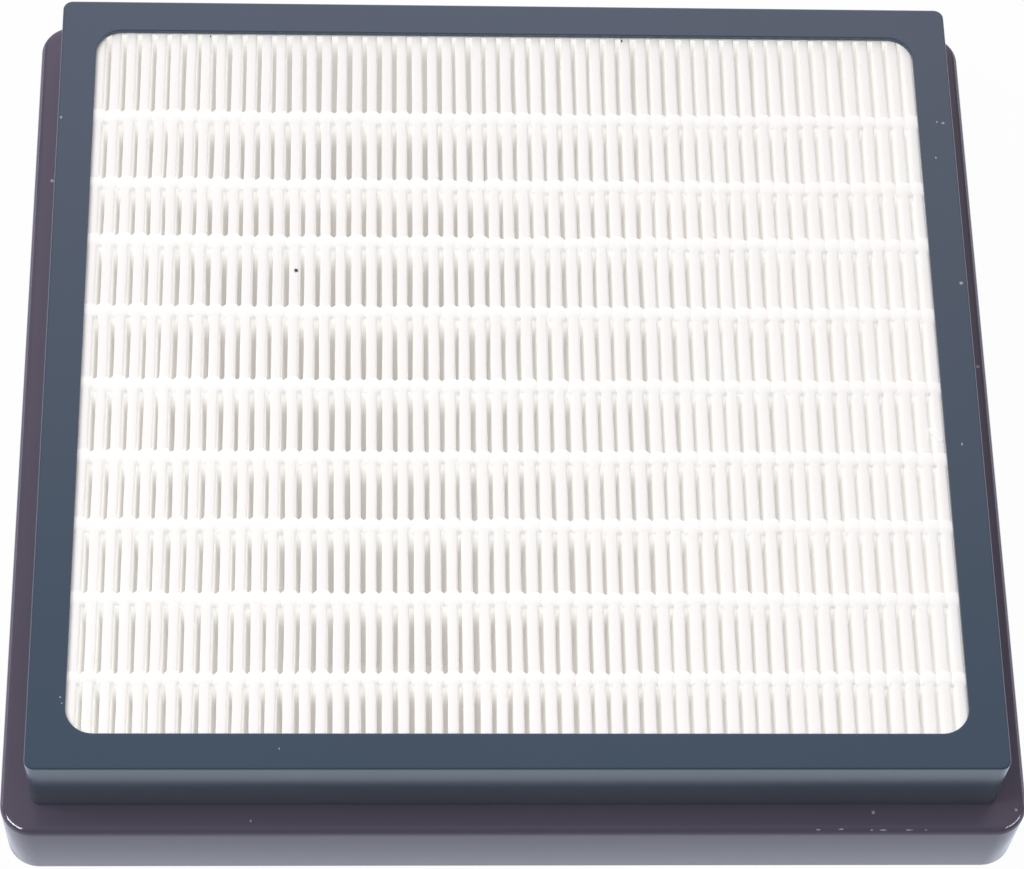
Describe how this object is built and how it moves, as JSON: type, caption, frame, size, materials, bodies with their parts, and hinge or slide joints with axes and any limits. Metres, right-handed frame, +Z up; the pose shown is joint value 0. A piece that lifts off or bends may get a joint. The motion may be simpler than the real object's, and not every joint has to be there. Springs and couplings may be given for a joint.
{
  "type": "vacuum hepa filter",
  "caption": "Flat rectangular vacuum cleaner filter: pleated white media held apart by hot-melt rows, potted in a blue-grey plastic casing on a wider dark sealing flange.",
  "frame": {"origin": "centre of the underside, in the plane that the flange and the casing's foot rest on", "axes": "+X across the pleats, +Y along the pleats to the back, +Z up through the window"},
  "size_m": [0.1576, 0.147, 0.029],
  "materials": {
    "casing": "satin moulded, blue-grey",
    "flange": "smooth, dark violet-grey, a little glossy",
    "media": "matt white pleated filter paper",
    "hot_melt": "white hot-melt glue"
  },
  "bodies": {
    "root": {"casing": "casing", "seal_flange": "flange", "pleated_media": "media", "edge_sealant": "hot_melt", "separator_top_1": "hot_melt", "separator_bottom_1": "hot_melt", "separator_top_2": "hot_melt", "separator_bottom_2": "hot_melt", "separator_top_3": "hot_melt", "separator_bottom_3": "hot_melt", "separator_top_4": "hot_melt", "separator_bottom_4": "hot_melt", "separator_top_5": "hot_melt", "separator_bottom_5": "hot_melt", "separator_top_6": "hot_melt", "separator_bottom_6": "hot_melt", "separator_top_7": "hot_melt", "separator_bottom_7": "hot_melt", "separator_top_8": "hot_melt", "separator_bottom_8": "hot_melt", "separator_top_9": "hot_melt", "separator_bottom_9": "hot_melt"}
  },
  "joints": []
}
